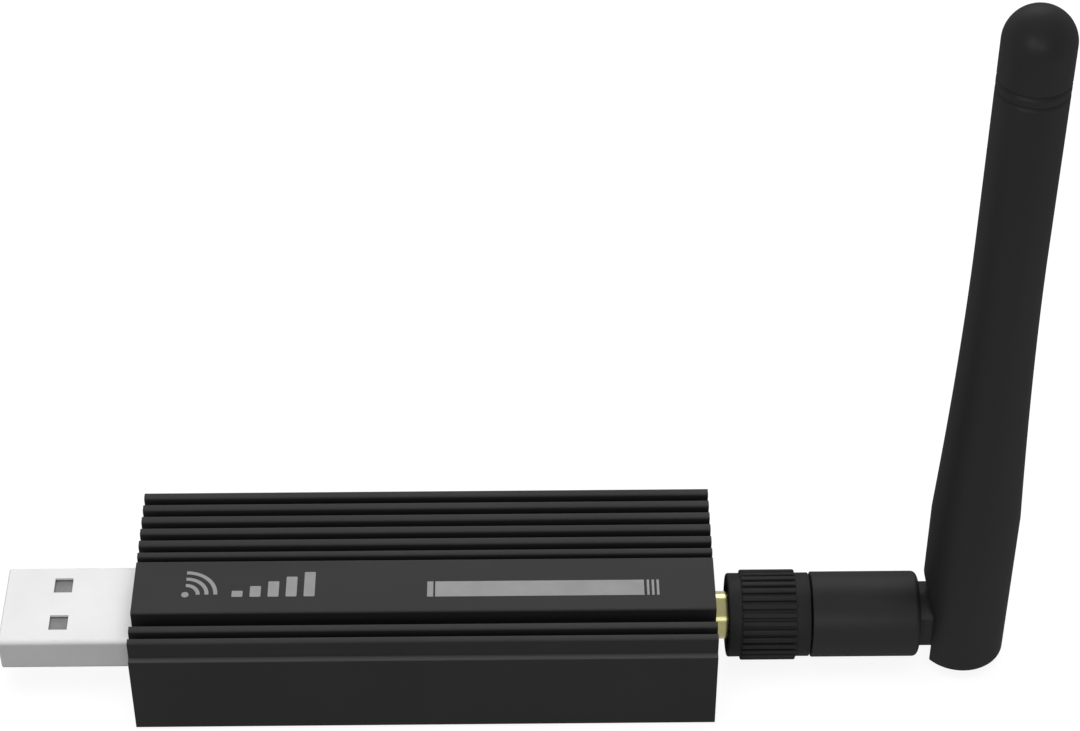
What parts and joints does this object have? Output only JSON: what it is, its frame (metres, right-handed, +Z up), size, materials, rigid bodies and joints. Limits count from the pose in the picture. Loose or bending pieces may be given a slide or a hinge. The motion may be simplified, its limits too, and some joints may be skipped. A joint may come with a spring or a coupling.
{
  "type": "smart home usb radio stick",
  "caption": "USB radio stick with a finned black metal housing, a USB plug at one end, and a screw-on rubber whip antenna that swivels and tilts at the other.",
  "frame": {"origin": "centre of the housing's flat underside", "axes": "+X along the stick from the USB plug towards the antenna, +Y across it away from the wide plain band's side, +Z up through the finned top"},
  "size_m": [0.1161, 0.0254, 0.0915],
  "materials": {
    "housing_metal": "fine satin black anodised aluminium extrusion",
    "plate_metal": "satin black anodised plate",
    "board_laminate": "green solder mask",
    "plug_steel": "bright nickel-plated steel",
    "insulator_plastic": "black moulded plastic",
    "contact_gold": "gold plating",
    "chip_plastic": "black moulding compound",
    "ceramic": "tan ceramic",
    "crystal_metal": "bare sheet metal lid",
    "light_lens": "clear lens over a white base",
    "connector_gold": "pale gold plating",
    "connector_insulator": "white fluoropolymer",
    "gasket_rubber": "red silicone",
    "ring_steel": "spring steel",
    "cable_jacket": "brown fluoropolymer jacket",
    "antenna_plastic": "satin black moulded plastic",
    "bush_brass": "turned brass",
    "whip_rubber": "soft black satin rubber",
    "spacer_foam": "white foam"
  },
  "bodies": {
    "stick": {"housing": "housing_metal", "usb_end_plate": "plate_metal", "antenna_end_plate": "plate_metal", "circuit_board": "board_laminate", "usb_plug_shell": "plug_steel", "usb_insulator": "insulator_plastic", "usb_contacts": "contact_gold", "radio_chip": "chip_plastic", "bridge_chip": "chip_plastic", "voltage_regulator": "chip_plastic", "radio_filter": "ceramic", "crystals": "crystal_metal", "status_lights": "light_lens", "capacitors": "ceramic", "resistors": "chip_plastic", "boot_switch_case": "crystal_metal", "antenna_jack": "connector_gold", "jack_insulator": "connector_insulator", "jack_contact": "connector_gold"},
    "boot_button": {"boot_switch_button": "insulator_plastic"},
    "antenna_plug": {"plug_ferrule": "connector_gold", "plug_insulator": "connector_insulator", "plug_pin": "connector_gold", "plug_gasket": "gasket_rubber", "snap_ring": "ring_steel", "feed_cable": "cable_jacket"},
    "coupling_nut": {"nut_insert": "connector_gold", "thumb_sleeve": "antenna_plastic"},
    "swivel": {"swivel_bush": "bush_brass", "swivel_base": "antenna_plastic"},
    "whip": {"whip_cover": "whip_rubber", "whip_cable": "cable_jacket", "radiator_tube": "bush_brass", "radiator_wire": "bush_brass", "foam_plug": "spacer_foam"}
  },
  "joints": [
    {"name": "boot_press", "type": "slide", "parent": "stick", "child": "boot_button", "axis": [0, 0, -1], "range_m": [0, 0.00025], "stiffness_N_per_m": 4000},
    {"name": "antenna_draw", "type": "slide", "parent": "stick", "child": "antenna_plug", "axis": [1, 0, 0], "range_m": [0, 0.0054]},
    {"name": "nut_turn", "type": "hinge", "parent": "antenna_plug", "child": "coupling_nut", "pos_m": [0.04, -0.0013, 0.006], "axis": [1, 0, 0], "range_deg": [0, 2756]},
    {"name": "swivel", "type": "hinge", "parent": "antenna_plug", "child": "swivel", "pos_m": [0.0508, -0.0013, 0.006], "axis": [1, 0, 0], "range_deg": [-180, 180]},
    {"name": "tilt", "type": "hinge", "parent": "swivel", "child": "whip", "pos_m": [0.06241, -0.0013, 0.006], "axis": [0, 1, 0], "range_deg": [0, 90]}
  ],
  "couplings": [
    {"joint": "nut_turn", "follows": "antenna_draw", "rad_per_m": 8904.7}
  ]
}
